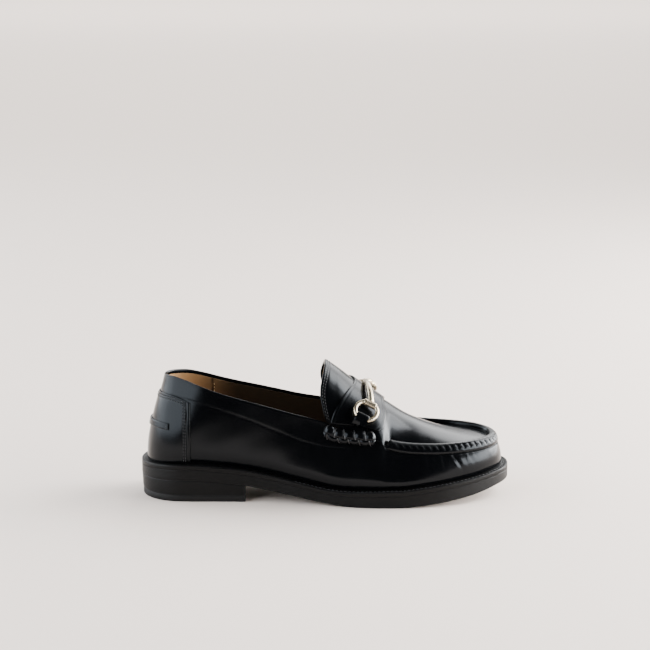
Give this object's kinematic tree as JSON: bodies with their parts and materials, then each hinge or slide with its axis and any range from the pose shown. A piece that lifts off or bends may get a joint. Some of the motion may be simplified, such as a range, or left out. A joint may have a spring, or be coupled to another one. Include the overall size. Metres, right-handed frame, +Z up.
{
  "type": "bit loafer",
  "caption": "Black polished leather bit loafer for the right foot, moccasin toe seam, metal snaffle bit on a saddle strap, stacked heel and tan lining.",
  "frame": {"origin": "on the floor, under the middle of the sole's length and width", "axes": "+X towards the toe, +Y towards the medial side of this right shoe, +Z up"},
  "size_m": [0.3, 0.1062, 0.11],
  "materials": {
    "upper_leather": "polished black leather, smooth, glossy",
    "sole_edge": "black inked sole and heel edge, satin",
    "heel_rubber": "black rubber top piece, matte",
    "lining_leather": "tan lining and sock leather, smooth",
    "bit_metal": "pale brass, polished"
  },
  "bodies": {
    "root": {"outsole": "sole_edge", "heel_stack": "sole_edge", "heel_top_piece": "heel_rubber", "welt": "sole_edge", "upper": "upper_leather", "insole": "lining_leather", "tongue": "upper_leather", "saddle_strap": "upper_leather", "beef_roll_lateral": "upper_leather", "beef_roll_medial": "upper_leather", "counter": "upper_leather", "heel_tab": "upper_leather", "bit_ring_lateral": "bit_metal", "bit_ring_medial": "bit_metal", "bit_bar_lateral": "bit_metal", "bit_bar_medial": "bit_metal", "ring_tab_lateral": "upper_leather", "ring_tab_medial": "upper_leather"}
  },
  "joints": []
}
